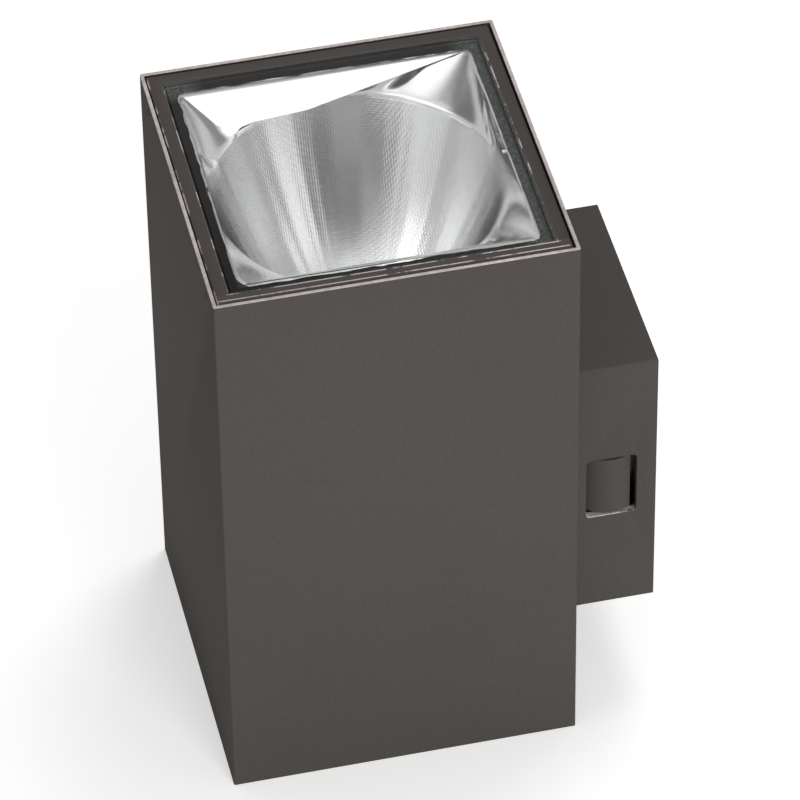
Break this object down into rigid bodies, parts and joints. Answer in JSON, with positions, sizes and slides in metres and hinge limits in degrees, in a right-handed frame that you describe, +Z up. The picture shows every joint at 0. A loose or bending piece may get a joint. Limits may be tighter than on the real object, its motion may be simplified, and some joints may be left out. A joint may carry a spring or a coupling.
{
  "type": "outdoor wall light",
  "caption": "Square tube wall light shining upwards through a hinged glass over a dimpled reflector, on a shallow box that snaps onto a wall bracket.",
  "frame": {"origin": "middle of the wall face of the bracket and box", "axes": "+Z up, +Y into the wall, so the light stands out along -Y; +X to the right seen from the front of the light looking at the wall"},
  "size_m": [0.15, 0.19, 0.272],
  "materials": {
    "body_paint": "fine matt textured dark bronze-grey powder coat",
    "clear_glass": "clear toughened float glass",
    "grey_silicone": "grey-green cured silicone",
    "black_rubber": "matt black rubber",
    "reflector_aluminium": "anodised hammered bright aluminium",
    "dark_plastic": "dark grey heat-proof plastic",
    "zinc_steel": "galvanised sheet steel",
    "bright_steel": "plain stainless steel",
    "dark_steel": "black-oxide steel",
    "brass": "plain brass",
    "white_plastic": "off-white polyamide",
    "ceramic": "white steatite ceramic",
    "laminated_steel": "varnished laminations",
    "winding_resin": "red-brown impregnated winding cover",
    "capacitor_can": "light grey plastic can"
  },
  "bodies": {
    "root": {"body_tube": "body_paint", "base_housing": "body_paint", "clamp_plate": "zinc_steel", "base_screws": "bright_steel", "passage_grommet": "black_rubber", "wall_bracket": "zinc_steel", "catch_pins": "bright_steel", "catch_springs": "bright_steel", "cable_grommet": "black_rubber", "terminal_block": "white_plastic", "earth_screw": "brass", "hinge_brackets": "zinc_steel", "reflector_carrier": "zinc_steel", "door_seal": "black_rubber", "reflector": "reflector_aluminium", "reflector_stud": "dark_plastic", "reflector_pins": "reflector_aluminium", "lamp_cap": "ceramic", "lamp_envelope": "clear_glass", "lamp_arc_tube": "ceramic", "partition_plate": "zinc_steel", "lead_grommet": "black_rubber", "lampholder": "ceramic", "lampholder_bracket": "zinc_steel", "bottom_ledge": "zinc_steel", "bottom_seal": "black_rubber", "bottom_cover": "body_paint", "bottom_screws": "bright_steel", "lock_screws": "dark_steel", "gear_tray": "zinc_steel", "ballast_core": "laminated_steel", "ballast_winding": "winding_resin", "gear_screws": "bright_steel", "ignitor": "white_plastic", "capacitor": "capacitor_can"},
    "door": {"door_frame": "body_paint", "door_glass": "clear_glass", "glass_bed": "grey_silicone", "hinge_pins": "bright_steel"},
    "catch_left": {"catch_left": "body_paint"},
    "catch_right": {"catch_right": "body_paint"}
  },
  "joints": [
    {"name": "door_hinge", "type": "hinge", "parent": "root", "child": "door", "pos_m": [0, -0.0458, 0.1539], "axis": [-1, 0, 0], "range_deg": [0, 95]},
    {"name": "catch_right_press", "type": "hinge", "parent": "root", "child": "catch_right", "pos_m": [0.04039, -0.03231, 0], "axis": [0, 0, 1], "range_deg": [0, 8], "stiffness_Nm_per_rad": 0.4, "springref_deg": -5.73},
    {"name": "catch_left_press", "type": "hinge", "parent": "root", "child": "catch_left", "pos_m": [-0.04039, -0.03231, 0], "axis": [0, 0, -1], "range_deg": [0, 8], "stiffness_Nm_per_rad": 0.4, "springref_deg": -5.73}
  ]
}
